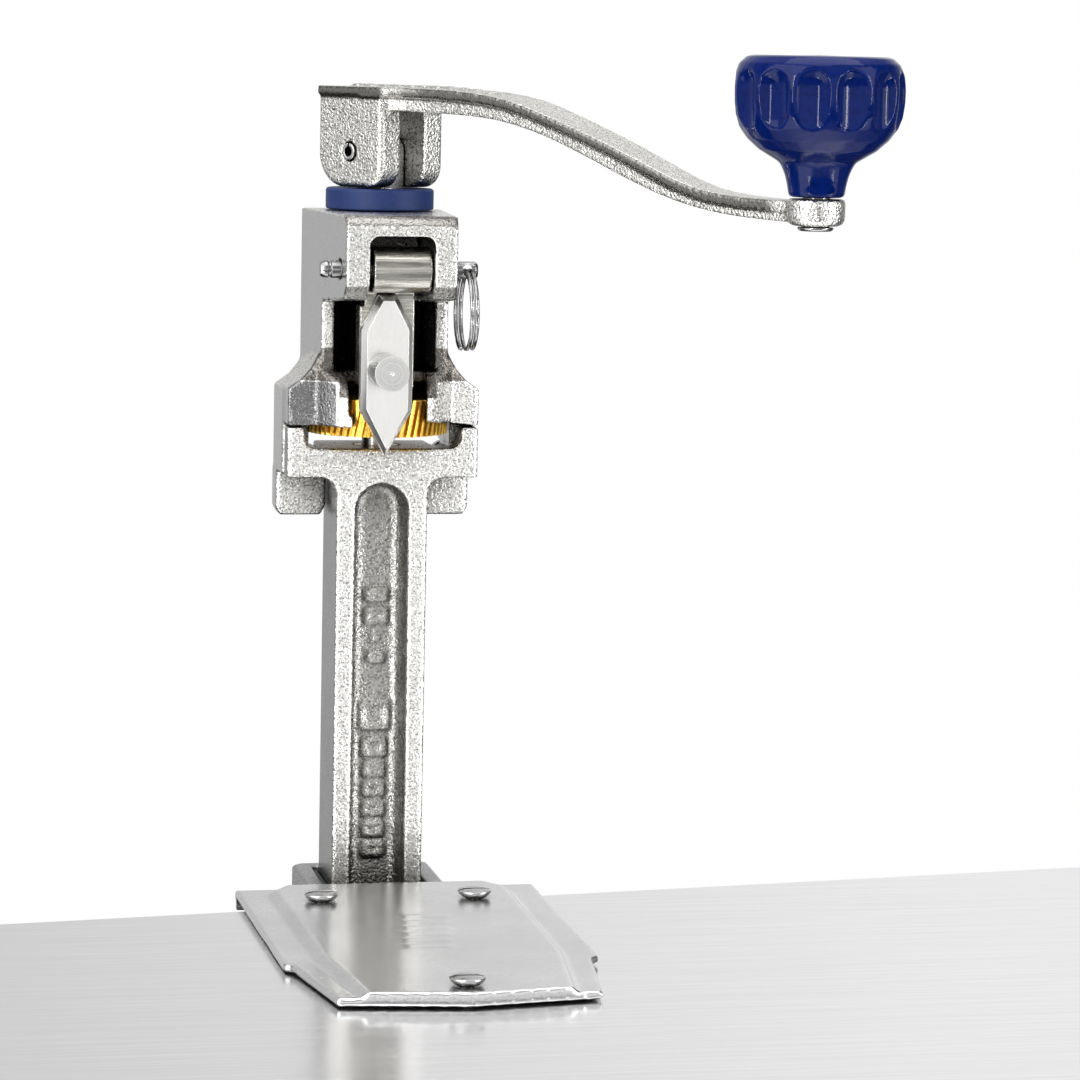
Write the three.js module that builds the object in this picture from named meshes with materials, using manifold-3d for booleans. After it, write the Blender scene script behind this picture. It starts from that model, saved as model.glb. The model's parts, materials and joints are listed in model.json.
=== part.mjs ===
// Table-mount manual can opener. Millimetres, +Z up, the working side faces -Y.
// Everything is drawn from the front face of the bar (Y = 0) and the underside of
// the base plate (Z = 0), then moved back so the origin is under the plate's middle.
import * as THREE from 'three';
import { mergeVertices } from 'three/addons/utils/BufferGeometryUtils.js';
import Module from 'manifold-3d';

const wasm = await Module();
wasm.setup();

const ORIGIN_Y = 80; // bar front face to the middle of the base plate
const GAP = 0.3; // clearance between neighbouring pieces

// Base
const PLATE_BACK = -13.6;
const PLATE_FRONT = -146.6;
const PLATE_T = 2.2;
const PLATE_RAISED = 3.8;
const SOCKET_HALF = 19.7;
const SOCKET_LOW = -38;
const SCREW_SPOTS = [[-21.3, -37.2], [20.8, -37.2], [0, -138]];

// Bar and its T-shaped top
const BAR_HALF = 12.7;
const BAR_DEPTH = 25.4;
const BAR_LOW = -219;
const T_LOW = 114.5;
const SHELF_TOP = 122.6;
const T_HALF = 26.7;
const T_MOUTH = 21.8; // half width of the gap between the T's ears
const EAR_TOP = 128.6;
const WING_DEPTH = 7;

// Head
const HEAD_BACK = 25.9;
const HEAD_TOP = 187.9;
const BLOCK_FRONT = -26.7;
const BLOCK_LOW = 165.4;
const CHEEK_TOP = 139.2;
const CAVITY_HALF = 14.2;
const WINDOW_LEFT = -8.8;
const WINDOW_RIGHT = 9;
const WINDOW_TOP = 182.4;

// Drive axis
const ARBOR_Y = 12.7;
const GEAR_R = 19.8;
const GEAR_ROOT_R = 18.8;
const GEAR_TEETH = 56;
const GEAR_LOW = 126.3;
const GEAR_TOP = 136.5;
const GEAR_TWIST = 0.11; // radians over the gear's height
const GEAR_ROOM_TOP = 141;
const WASHER_R = 15;
const WASHER_LOW = 188.2;
const WASHER_TOP = 194.1;

// Crank handle, drawn along +X from the arbor axis and turned at the end
const CRANK_TURN = -54.4 * Math.PI / 180;
const CRANK_R = 155;
const FOLD_Z = 204.2;
const EAR_LOW = 194.4;
const CLEVIS_TOP = 222;
const CLEVIS_HALF = 12.4;
const SLOT_HALF = 4.7;
const FLUTES = 13;

// Knife arm and quick-release pin
const PIN_Y = -19;
const PIN_Z = 173.2;
const PIN_R = 2.38;
const RING_X = 19.1;
const KNIFE_FRONT = -16.8;
const KNIFE_BACK = -11.9;
const KNIFE_X = -2;
const STUD_X = -2.9;
const STUD_Z = 145.8;
const STUD_FRONT = -30.2;

const castSteel = { color: 0x9d9a94, roughness: 0.42, metalness: 1 };
const machined = { color: 0xb2b1ae, roughness: 0.3, metalness: 1 };
const plateSteel = { color: 0x8e8f90, roughness: 0.38, metalness: 1 };
const brightSteel = { color: 0xc4c5c6, roughness: 0.18, metalness: 1 };
const bladeSteel = { color: 0xdad8d3, roughness: 0.25, metalness: 1 };
const goldCoat = { color: 0xc9982f, roughness: 0.35, metalness: 1 };
const bronze = { color: 0x9c7440, roughness: 0.4, metalness: 1 };
const blueNylon = { color: 0x2a52a0, roughness: 0.55, metalness: 0 };
const blueKnob = { color: 0x141f86, roughness: 0.12, metalness: 0 };
const blackNylon = { color: 0x25272a, roughness: 0.6, metalness: 0 };

const group = new THREE.Group();
group.name = 'can_opener';

// ---- helpers ---------------------------------------------------------------

// Manifold solid from a three.js geometry
function solid(geometry) {
  const bare = geometry.clone();
  bare.deleteAttribute('normal');
  bare.deleteAttribute('uv');
  const merged = mergeVertices(bare, 1e-4);
  return new wasm.Manifold(new wasm.Mesh({
    numProp: 3,
    vertProperties: new Float32Array(merged.attributes.position.array),
    triVerts: new Uint32Array(merged.index.array),
  }));
}

// Box between two corners
function box(x0, x1, y0, y1, z0, z1) {
  const shape = new THREE.BoxGeometry(x1 - x0, y1 - y0, z1 - z0);
  return solid(shape.translate((x0 + x1) / 2, (y0 + y1) / 2, (z0 + z1) / 2));
}

// Upright cylinder
function post(x, y, r, z0, z1, segments = 40) {
  const shape = new THREE.CylinderGeometry(r, r, z1 - z0, segments).rotateX(Math.PI / 2);
  return solid(shape.translate(x, y, (z0 + z1) / 2));
}

// Cylinder along Y
function rodY(x, z, r, y0, y1, segments = 24) {
  const shape = new THREE.CylinderGeometry(r, r, y1 - y0, segments);
  return solid(shape.translate(x, (y0 + y1) / 2, z));
}

// Cylinder along X
function rodX(y, z, r, x0, x1, segments = 24) {
  const shape = new THREE.CylinderGeometry(r, r, x1 - x0, segments).rotateZ(Math.PI / 2);
  return solid(shape.translate((x0 + x1) / 2, y, z));
}

function outline(points) {
  const shape = new THREE.Shape();
  points.forEach(([a, b], i) => (i ? shape.lineTo(a, b) : shape.moveTo(a, b)));
  shape.closePath();
  return shape;
}

// Plan outline (x, y) raised from z0 to z1; edge > 0 rounds the top and bottom rims
function plan(shape, z0, z1, edge = 0, curve = 8) {
  const geometry = new THREE.ExtrudeGeometry(shape, {
    depth: z1 - z0 - 2 * edge,
    bevelEnabled: edge > 0,
    bevelThickness: edge,
    bevelSize: edge,
    bevelOffset: -edge,
    bevelSegments: 1,
    curveSegments: curve,
  });
  return geometry.translate(0, 0, z0 + edge);
}

// Front outline (x, z) taken from y0 back to y1
function front(shape, y0, y1, edge = 0, curve = 8) {
  return plan(shape, 0, y1 - y0, edge, curve).rotateX(Math.PI / 2).translate(0, y1, 0);
}

// Side outline (y, z) taken from x0 to x1
function side(shape, x0, x1, edge = 0) {
  const geometry = plan(shape, 0, x1 - x0, edge);
  return geometry.rotateX(Math.PI / 2).rotateZ(Math.PI / 2).translate(x0, 0, 0);
}

function rounded(x0, x1, y0, y1, r) {
  const shape = new THREE.Shape();
  shape.moveTo(x0 + r, y0);
  shape.lineTo(x1 - r, y0);
  shape.absarc(x1 - r, y0 + r, r, -Math.PI / 2, 0, false);
  shape.lineTo(x1, y1 - r);
  shape.absarc(x1 - r, y1 - r, r, 0, Math.PI / 2, false);
  shape.lineTo(x0 + r, y1);
  shape.absarc(x0 + r, y1 - r, r, Math.PI / 2, Math.PI, false);
  shape.lineTo(x0, y0 + r);
  shape.absarc(x0 + r, y0 + r, r, Math.PI, 1.5 * Math.PI, false);
  return shape;
}

// Solid of revolution about a vertical axis
function turned(profile, x, y, segments = 40) {
  const points = profile.map(([r, z]) => new THREE.Vector2(r, z));
  const shape = new THREE.LatheGeometry(points, segments).rotateX(Math.PI / 2);
  return solid(shape.translate(x, y, 0));
}

// The same solid mirrored left to right
function mirrored(body) {
  return body.mirror([1, 0, 0]);
}

function place(name, body, look, turn = 0) {
  const mesh = body.getMesh();
  const geometry = new THREE.BufferGeometry();
  geometry.setAttribute('position', new THREE.BufferAttribute(new Float32Array(mesh.vertProperties), 3));
  geometry.setIndex(new THREE.BufferAttribute(new Uint32Array(mesh.triVerts), 1));
  if (turn) {
    geometry.translate(0, -ARBOR_Y, 0).rotateZ(turn).translate(0, ARBOR_Y, 0);
  }
  geometry.translate(0, ORIGIN_Y, 0);
  geometry.computeVertexNormals();
  const piece = new THREE.Mesh(geometry, new THREE.MeshStandardMaterial(look));
  piece.name = name;
  group.add(piece);
}

// ---- base ------------------------------------------------------------------

// Flat plate with a raised middle, a hook lip at the back and the tongue that
// forms the front wall of the bar's socket
function basePlate() {
  const rim = outline([
    [-41.8, PLATE_BACK], [-41, -103], [-38.8, -105.2], [-33, -142], [0, PLATE_FRONT],
    [33.6, -141.6], [38.8, -105.2], [41, -103], [41.8, PLATE_BACK],
  ]);
  const raised = outline([
    [-28, PLATE_BACK - 0.6], [-33, -22], [-31.8, -102], [-26, -150], [26, -150], [31.8, -102],
    [33, -22], [28, PLATE_BACK - 0.6],
  ]);
  let body = solid(plan(rim, 0, PLATE_T, 0.5));
  body = body.add(solid(plan(raised, 0.4, PLATE_RAISED, 1.3)).intersect(solid(plan(rim, 0, 6))));
  for (let i = 0; i < 6; i += 1) {
    body = body.add(box(-3 - i, 9 - i, -62 - 7 * i, -58 - 7 * i, 3, PLATE_RAISED + 0.25));
  }
  body = body.add(box(-41.5, 41.5, PLATE_BACK - 3, PLATE_BACK - 0.2, -3, 1.6));
  body = body.add(box(-SOCKET_HALF, SOCKET_HALF, PLATE_BACK - 4.5, PLATE_BACK, SOCKET_LOW, 1.6));
  SCREW_SPOTS.forEach(([x, y]) => {
    body = body.subtract(post(x, y, 2.5, -5, 6, 24));
  });
  [-17, 17].forEach((x) => {
    body = body.subtract(rodY(x, -19, 1.8, PLATE_BACK - 6, PLATE_BACK + 2));
  });
  return body;
}

// Rectangular sleeve that the bar slides in
function barSocket() {
  const front0 = PLATE_BACK + GAP;
  const shape = outline([
    [-SOCKET_HALF, front0], [SOCKET_HALF, front0], [SOCKET_HALF, 29.6], [17.3, 32], [-17.3, 32],
    [-SOCKET_HALF, 29.6],
  ]);
  shape.holes.push(outline([[-14.3, -2], [-14.3, 27], [14.3, 27], [14.3, -2]]));
  let body = solid(plan(shape, SOCKET_LOW, 0, 0.4));
  [-17, 17].forEach((x) => {
    body = body.subtract(rodY(x, -19, 1.8, -16, 34));
  });
  return body;
}

// Nylon lining between socket and bar
function socketLiner() {
  const shape = outline([
    [-14, 0], [-13, 0], [-13, 25.7], [13, 25.7], [13, 0], [14, 0], [14, 26.7], [-14, 26.7],
  ]);
  return solid(plan(shape, SOCKET_LOW + 1, -1));
}

function socketBolt(x) {
  const shank = rodY(x, -19, 1.5, PLATE_BACK - 4.3, 32.6);
  const head = rodY(x, -19, 3, 32.3, 35, 6);
  return shank.add(head);
}

// Dome-headed slotted screw with a pointed shank
function baseScrew(x, y) {
  const body = turned([
    [0, -13], [1.9, -9], [1.9, 4.1], [3.3, 4.1], [4.1, 4.7], [4.6, 5.5], [4.5, 5.9], [2.8, 6.3], [0, 6.4],
  ], x, y, 32);
  return body.subtract(box(x - 5, x + 5, y - 0.8, y + 0.8, 4.9, 7));
}

// ---- bar -------------------------------------------------------------------

// Front outline of the T: wings filleted into the bar, small ears at the ends
function wingOutline() {
  const shape = new THREE.Shape();
  shape.moveTo(-BAR_HALF, 104);
  shape.lineTo(BAR_HALF, 104);
  shape.absarc(BAR_HALF + 5, T_LOW - 5, 5, Math.PI, Math.PI / 2, true);
  shape.lineTo(T_HALF, T_LOW);
  shape.lineTo(T_HALF, EAR_TOP);
  shape.lineTo(T_MOUTH, EAR_TOP);
  shape.absarc(T_MOUTH - 3, SHELF_TOP + 3, 3, 0, -Math.PI / 2, true);
  shape.absarc(-T_MOUTH + 3, SHELF_TOP + 3, 3, -Math.PI / 2, -Math.PI, true);
  shape.lineTo(-T_MOUTH, EAR_TOP);
  shape.lineTo(-T_HALF, EAR_TOP);
  shape.lineTo(-T_HALF, T_LOW);
  shape.absarc(-BAR_HALF - 5, T_LOW - 5, 5, Math.PI / 2, 0, true);
  shape.closePath();
  return shape;
}

// Long groove with a round top, wider at the mouth than at its floor
function groove() {
  const shape = new THREE.Shape();
  shape.moveTo(-8.2, BAR_LOW + 18);
  shape.lineTo(8.2, BAR_LOW + 18);
  shape.lineTo(7.4, 105.5);
  shape.absarc(0, 105.5, 7.4, 0, Math.PI, false);
  shape.closePath();
  const cut = new THREE.ExtrudeGeometry(shape, {
    depth: 4, bevelEnabled: true, bevelThickness: 5, bevelSize: 3.2, bevelOffset: -3.2,
    bevelSegments: 3, curveSegments: 10,
  });
  return solid(cut.rotateX(Math.PI / 2).translate(0, 4, 0));
}

// Plain raised marks cast on the floor of the groove: width and height of each, top one first
const MARKS = [
  [3.2, 3.6, 79], [3.2, 4.4, 72.6], [1, 2, 67.6], [2.4, 3, 61.6], [4.4, 8, 42.6], [3.4, 5.4, 34.8],
  [3, 4, 29], [3, 4, 23.4], [3, 4, 17.8], [3, 4.2, 12], [3, 4, 6.4],
];

function castMarks() {
  return wasm.Manifold.union(MARKS.map(([half, tall, z]) => {
    const plate = solid(front(rounded(-half, half, z, z + tall, 0.7), 8.2, 9.7, 0, 3));
    if (half < 2 || tall < 3.5) return plate;
    return plate.subtract(box(-half + 1.3, half - 1.3, 8, 8.8, z + 1.3, z + tall - 1.3));
  }));
}

function bar() {
  let body = box(-BAR_HALF, BAR_HALF, 0, BAR_DEPTH, BAR_LOW, SHELF_TOP);
  body = body.add(box(-16, 16, 0, BAR_DEPTH, T_LOW, SHELF_TOP));
  body = body.add(solid(front(wingOutline(), 0, WING_DEPTH)));
  body = body.subtract(groove()).add(castMarks());
  body = body.subtract(post(0, ARBOR_Y, 6.5, 115, SHELF_TOP + 1));
  [-21.3, 21.3].forEach((x) => {
    body = body.subtract(rodY(x, 118.6, 2.8, 3, 9));
  });
  return body;
}

function footBushing() {
  return post(0, ARBOR_Y, 6.2, 115.3, SHELF_TOP).subtract(post(0, ARBOR_Y, 4.3, 114, 124));
}

// ---- head ------------------------------------------------------------------

// Half front outline of the lower head, cheek and flared shoulder
function cheek() {
  const shoulder = outline([
    [13, T_LOW + GAP], [27.2, T_LOW + GAP], [27.2, 138.6], [26.5, CHEEK_TOP], [23.2, 141.5],
    [20.6, 144.7], [18.6, 149], [17.9, 153], [13, 153],
  ]);
  const ear = outline([
    [13.1, 105], [14.6, 102.2], [26, 102.2], [27.4, 104.5], [27.4, 115.5], [13.1, 115.5],
  ]);
  const behind = solid(front(shoulder, WING_DEPTH + GAP, HEAD_BACK, 0.6));
  return behind.add(solid(front(ear, 17.5, HEAD_BACK, 0.6)));
}

// Room that the lumps and scoops fill: a rim round the gear in front of the side walls
function guard() {
  return post(0, ARBOR_Y, GEAR_R + 2.9, 120, 155, 72).add(box(-40, 40, 0, 20, 120, 155));
}

// Lump in front of the gear; left and right ones differ in width
function lump(points) {
  return solid(front(outline(points), -11, 9)).intersect(guard());
}

// Shoulder between lump and side wall on the front plane
function frontShoulder() {
  const shape = outline([
    [14.2, 136], [26.7, 136], [26.7, 138.6], [26.4, CHEEK_TOP], [23.2, 141.5], [20.3, 144.7],
    [18.1, 149], [17.6, 153], [14.2, 153],
  ]);
  return solid(front(shape, 1.4, 9));
}

function headBlock() {
  const wide = (y) => 17.6 + 0.09 * y;
  const low = outline([
    [-wide(0), 0], [wide(0), 0], [wide(HEAD_BACK), HEAD_BACK], [-wide(HEAD_BACK), HEAD_BACK],
  ]);
  const top = outline([
    [-wide(BLOCK_FRONT), BLOCK_FRONT], [wide(BLOCK_FRONT), BLOCK_FRONT],
    [wide(HEAD_BACK), HEAD_BACK], [-wide(HEAD_BACK), HEAD_BACK],
  ]);
  const nose = outline([
    [BLOCK_FRONT, BLOCK_LOW + 3.6], [BLOCK_FRONT + 3, BLOCK_LOW - 0.2], [0, BLOCK_LOW - 2], [0, 150],
    [HEAD_BACK, 150], [HEAD_BACK, HEAD_TOP], [BLOCK_FRONT + 3.4, HEAD_TOP],
    [BLOCK_FRONT + 1.5, HEAD_TOP - 0.8], [BLOCK_FRONT + 0.4, HEAD_TOP - 2.2], [BLOCK_FRONT, HEAD_TOP - 3.6],
  ]);
  const upper = solid(plan(top, 150, HEAD_TOP)).intersect(solid(side(nose, -30, 30)));
  return upper.add(solid(plan(low, 141, 170)));
}

// Scooped slope from the cheek's front down to the lump's top edge
function scoop() {
  const slope = outline([
    [4, 134], [-8, 134], [-8, 136], [-7, 138.6], [-5.6, 140.8], [-3.6, 142.7], [-1.6, 144], [0, 145.2],
    [0.8, 147], [1.4, 150], [4, 152],
  ]);
  const across = outline([
    [10.9, 134], [26.7, 134], [26.7, CHEEK_TOP], [23.2, 141.5], [20.3, 144.7], [18.1, 149],
    [17.6, 153], [14.2, 153], [14.2, 146], [10.9, 146],
  ]);
  return solid(side(slope, -30, 30)).intersect(solid(front(across, -12, 6))).intersect(guard());
}

// Hood over the part of the gear that stands out at the back
function gearGuard() {
  const hood = post(0, ARBOR_Y, GEAR_R + 3.2, 131, 143.6, 72);
  return hood.subtract(box(-40, 40, -40, HEAD_BACK - 2, 120, 150));
}

function headCasting() {
  let body = headBlock().add(gearGuard());
  body = body.add(cheek()).add(mirrored(cheek()));
  body = body.add(frontShoulder()).add(mirrored(frontShoulder()));
  body = body.add(lump([
    [-26.7, 129], [-26.7, CHEEK_TOP], [-21.9, 141.2], [-14.4, 136.9], [-9.8, 135.6], [-9.8, 129],
  ]));
  body = body.add(lump([
    [10.9, 130.6], [10.9, 136.4], [14.6, 137.2], [21.9, 141.2], [26.7, CHEEK_TOP], [26.7, 129],
  ]));
  body = body.add(scoop()).add(mirrored(scoop()));
  const window = rounded(WINDOW_LEFT, WINDOW_RIGHT, 130, WINDOW_TOP, 2.5);
  body = body.subtract(solid(front(window, -30, -1)));
  body = body.subtract(box(-CAVITY_HALF, CAVITY_HALF, -1.2, 22, 144.2, 163.4));
  body = body.subtract(box(-10.6, 10.6, -30, 0, 132, BLOCK_LOW - 2.2));
  body = body.subtract(box(-CAVITY_HALF, CAVITY_HALF, -30, 0, 146, BLOCK_LOW - 2.2));
  body = body.subtract(post(0, ARBOR_Y, GEAR_R + 0.6, SHELF_TOP - 1, GEAR_ROOM_TOP, 72));
  body = body.subtract(box(-GEAR_R, GEAR_R, ARBOR_Y, 40, SHELF_TOP - 1, 131));
  body = body.subtract(box(-16.3, 16.3, -1, 40, 100, SHELF_TOP + GAP).subtract(sideEars()));
  body = body.subtract(post(0, ARBOR_Y, 6.4, 130, 170));
  body = body.subtract(post(0, ARBOR_Y, 8.3, 163, 190));
  body = body.subtract(rodX(PIN_Y, PIN_Z, PIN_R + 0.2, -30, 30));
  [-21.3, 21.3].forEach((x) => {
    body = body.subtract(rodY(x, 118.6, 2.8, 5, 24.3));
    body = body.subtract(rodY(x, 118.6, 4.6, 22.4, 30));
  });
  return body;
}

// Room left for the part of the ears that reaches in beside the bar
function sideEars() {
  const right = box(BAR_HALF + GAP, 16.4, 17, 30, 100, T_LOW - GAP);
  return right.add(mirrored(right));
}

function headScrew(x) {
  const body = rodY(x, 118.6, 2.5, 3.4, 23).add(rodY(x, 118.6, 4.2, 22.8, 25.6, 32));
  return body.subtract(box(x - 6, x + 6, 24.6, 27, 118, 119.2));
}

function upperBushing() {
  return post(0, ARBOR_Y, 8, 163.7, HEAD_TOP).subtract(post(0, ARBOR_Y, 6.3, 160, 190));
}

// ---- drive axis ------------------------------------------------------------

function thrustWasher() {
  const profile = [
    [6.6, WASHER_LOW], [WASHER_R - 0.4, WASHER_LOW], [WASHER_R, WASHER_LOW + 0.4],
    [WASHER_R, WASHER_TOP - 0.5], [WASHER_R - 0.5, WASHER_TOP], [6.6, WASHER_TOP], [6.6, WASHER_LOW],
  ];
  return turned(profile, 0, ARBOR_Y, 56);
}

// Shaft with a reduced foot, a keyway at the gear and a flat tang for the handle pin
function arborShaft() {
  let body = turned([
    [0, 116], [3.6, 116], [4, 116.5], [4, 125.4], [6, 125.4], [6, 194.2], [0, 194.2],
  ], 0, ARBOR_Y, 36);
  const tang = new THREE.Shape();
  tang.moveTo(-4.8, 192);
  tang.lineTo(4.8, 192);
  tang.lineTo(4.8, FOLD_Z);
  tang.absarc(0, FOLD_Z, 4.8, 0, Math.PI, false);
  tang.closePath();
  const flat = solid(front(tang, ARBOR_Y - 4.3, ARBOR_Y + 4.3));
  [-10, 4.3].forEach((side0) => {
    body = body.subtract(box(-8, 8, ARBOR_Y + side0, ARBOR_Y + side0 + 5.7, 190.6, 196));
  });
  body = body.add(flat).subtract(rodY(0, FOLD_Z, 2.65, ARBOR_Y - 8, ARBOR_Y + 8));
  return body.subtract(box(-1.6, 1.6, ARBOR_Y + 4.4, ARBOR_Y + 7, 127, 136));
}

function gearKey() {
  return box(-1.3, 1.3, ARBOR_Y + 4.7, ARBOR_Y + 7.6, 127.4, 135.6);
}

// Face-driven gear with leaning teeth
function driveGear() {
  const shape = new THREE.Shape();
  const step = 2 * Math.PI / GEAR_TEETH;
  for (let i = 0; i < GEAR_TEETH; i += 1) {
    const corners = [[-0.3, GEAR_ROOT_R], [-0.16, GEAR_R], [0.16, GEAR_R], [0.3, GEAR_ROOT_R]];
    corners.forEach(([offset, r], j) => {
      const a = (i + offset) * step;
      const x = r * Math.cos(a);
      const y = r * Math.sin(a);
      if (i + j) shape.lineTo(x, y);
      else shape.moveTo(x, y);
    });
  }
  shape.closePath();
  const geometry = new THREE.ExtrudeGeometry(shape, {
    depth: GEAR_TOP - GEAR_LOW, steps: 2, bevelEnabled: false,
  });
  const points = geometry.attributes.position;
  for (let i = 0; i < points.count; i += 1) {
    const a = GEAR_TWIST * points.getZ(i) / (GEAR_TOP - GEAR_LOW);
    const x = points.getX(i);
    const y = points.getY(i);
    points.setXY(i, x * Math.cos(a) - y * Math.sin(a), x * Math.sin(a) + y * Math.cos(a));
  }
  let body = solid(geometry.translate(0, ARBOR_Y, GEAR_LOW));
  body = body.subtract(post(0, ARBOR_Y, 6.3, 120, 140, 36));
  return body.subtract(box(-1.6, 1.6, ARBOR_Y + 4, ARBOR_Y + 7.9, 127.1, 138));
}

// ---- crank handle ----------------------------------------------------------

// Side outline of the S-curved arm: distance from the axis and height
function armOutline() {
  const shape = new THREE.Shape();
  shape.moveTo(4, CLEVIS_TOP);
  shape.lineTo(4, 216);
  shape.lineTo(20, 215.5);
  shape.splineThru([
    new THREE.Vector2(38, 215), new THREE.Vector2(52, 213.7), new THREE.Vector2(67, 210.2),
    new THREE.Vector2(81, 205.4), new THREE.Vector2(95, 200.2), new THREE.Vector2(108, 196),
    new THREE.Vector2(121, 193.2), new THREE.Vector2(134, 191.8), new THREE.Vector2(148, 191.2),
  ]);
  shape.lineTo(156, 191.2);
  shape.lineTo(156, 196.4);
  shape.splineThru([
    new THREE.Vector2(145, 196.6), new THREE.Vector2(128, 197.4), new THREE.Vector2(114, 200),
    new THREE.Vector2(91, 208.4), new THREE.Vector2(67, 216.2), new THREE.Vector2(52, 220),
    new THREE.Vector2(36, 221.6), new THREE.Vector2(20, CLEVIS_TOP),
  ]);
  shape.closePath();
  return shape;
}

function armPlan() {
  const shape = new THREE.Shape();
  shape.moveTo(-CLEVIS_HALF, -12.7);
  shape.lineTo(CLEVIS_HALF, -12.7);
  shape.splineThru([
    new THREE.Vector2(20, -9.6), new THREE.Vector2(40, -8.3), new THREE.Vector2(90, -6.2),
    new THREE.Vector2(135, -4.8), new THREE.Vector2(CRANK_R, -4.6),
  ]);
  shape.lineTo(CRANK_R, 4.6);
  shape.splineThru([
    new THREE.Vector2(135, 4.8), new THREE.Vector2(90, 6.2), new THREE.Vector2(40, 8.3),
    new THREE.Vector2(20, 9.6), new THREE.Vector2(CLEVIS_HALF, 12.7),
  ]);
  shape.lineTo(-CLEVIS_HALF, 12.7);
  shape.closePath();
  return shape;
}

// Clevis side outline: the lower corner behind the pin is the round cam
function clevisOutline() {
  const shape = new THREE.Shape();
  const cam = 9.4;
  shape.moveTo(CLEVIS_HALF - 6, EAR_LOW);
  shape.absarc(CLEVIS_HALF - 6, EAR_LOW + 6, 6, -Math.PI / 2, 0, false);
  shape.lineTo(CLEVIS_HALF, CLEVIS_TOP);
  shape.lineTo(-CLEVIS_HALF, CLEVIS_TOP);
  shape.absarc(-CLEVIS_HALF + cam, EAR_LOW + cam, cam, Math.PI, 1.5 * Math.PI, false);
  shape.closePath();
  return shape;
}

// Short raised bars along the top of the arm
function armMarks() {
  let body = box(-8, -5.6, ARBOR_Y - 3.6, ARBOR_Y + 3.6, 221, CLEVIS_TOP + 0.8);
  for (let i = 0; i < 10; i += 1) {
    const r = -2.4 + 5 * i;
    const top = CLEVIS_TOP - 2 * Math.max(0, (r - 20) / 32) ** 1.3;
    body = body.add(box(r, r + 2.6, ARBOR_Y - 3.6, ARBOR_Y + 3.6, top - 1.2, top + 0.7));
  }
  return body;
}

function crankHandle() {
  const y0 = ARBOR_Y - 12.7;
  const y1 = ARBOR_Y + 12.7;
  const clevis = solid(front(clevisOutline(), y0 + 0.5, y1 - 0.5, 0.9));
  const strip = box(-CLEVIS_HALF, CLEVIS_HALF, y0, y1, CLEVIS_TOP - 2.2, CLEVIS_TOP);
  const slot = box(-30, 30, ARBOR_Y - SLOT_HALF, ARBOR_Y + SLOT_HALF, 190, 215.6);
  const arm = solid(front(armOutline(), y0, y1, 0, 2));
  const taper = solid(plan(armPlan(), 180, 230, 0, 2));
  const rib = arm.intersect(taper.scale([1, 0.8, 1]).translate([0, ARBOR_Y, 0]));
  const flange = arm.subtract(arm.translate([0, 0, -2.8])).intersect(taper.translate([0, ARBOR_Y, 0]));
  let body = clevis.add(strip).add(rib).add(flange).subtract(slot).add(armMarks());
  body = body.add(turned([
    [0, 190.4], [5.6, 190.4], [6.8, 191], [7.4, 192.2], [7.4, 196.4], [6.9, 197.2], [0, 197.2],
  ], CRANK_R, ARBOR_Y));
  body = body.subtract(post(CRANK_R, ARBOR_Y, 3.8, 185, 200, 32));
  return body.subtract(rodY(0, FOLD_Z, 2.65, -5, 30));
}

// Rolled spring pin with its slit
function handlePin() {
  let body = rodY(0, FOLD_Z, 2.35, ARBOR_Y - 12.6, ARBOR_Y + 12.6);
  body = body.subtract(rodY(0, FOLD_Z, 1.45, ARBOR_Y - 15, ARBOR_Y + 15));
  return body.subtract(box(-0.35, 0.35, ARBOR_Y - 15, ARBOR_Y + 15, FOLD_Z, FOLD_Z + 4));
}

// Rivet that carries the knob
function knobSpindle() {
  return turned([
    [0, 189], [3.9, 189.1], [4.5, 189.5], [4.6, 190.1], [3.5, 190.1], [3.5, 224], [5, 224],
    [5, 225.6], [3, 226.4], [0, 226.4],
  ], CRANK_R, ARBOR_Y, 32);
}

function knobBody() {
  let body = turned([
    [3.9, 197.6], [6.5, 197.6], [7.1, 198.2], [7.4, 200.2], [8, 202.8], [8.9, 205], [9.7, 206.3],
    [11.4, 207.3], [14.8, 209.3], [17.8, 212], [20, 215], [21.1, 217.8], [21.6, 221.4], [21.7, 224.8],
    [21.3, 228.2], [20.2, 230.9], [18.4, 232.5], [16.8, 232.9], [9.3, 232.9], [9.3, 226.8],
    [5.4, 226.8], [5.4, 223.6], [3.9, 223.6], [3.9, 197.6],
  ], CRANK_R, ARBOR_Y, 52);
  for (let i = 0; i < FLUTES; i += 1) {
    const flute = new THREE.CapsuleGeometry(6.4, 9, 5, 22).rotateX(Math.PI / 2);
    flute.translate(25.75, 0, 221).rotateZ(2 * Math.PI * i / FLUTES);
    body = body.subtract(solid(flute.translate(CRANK_R, ARBOR_Y, 0)));
  }
  return body;
}

function knobCap() {
  return turned([
    [0, 230.4], [9, 230.4], [9, 232.4], [8.4, 232.8], [0, 233.1],
  ], CRANK_R, ARBOR_Y, 40);
}

// ---- knife arm -------------------------------------------------------------

// Knuckle round the pin with a neck down to the plate that carries the knife
function knifeHolder() {
  const plate = outline([
    [-11.4, 140.4], [-4.4, 140.4], [-3.6, 141.5], [-3.6, 166], [-8, 174], [-15, 179], [-19, 179.4],
    [-22.4, 170], [-17, 167.4], [-12.6, 167.2], [-11.4, 166.4],
  ]);
  let body = rodX(PIN_Y, PIN_Z, 6.3, -7.4, 8.6, 36);
  body = body.add(solid(side(plate, -7.6, 6.2)));
  body = body.add(box(-8.9, 6.2, -11.4, -4, 141, 162.8));
  body = body.subtract(rodX(PIN_Y, PIN_Z, PIN_R + 0.2, -20, 20));
  return body.subtract(rodY(STUD_X, STUD_Z, 3.4, -20, 0));
}

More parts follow.
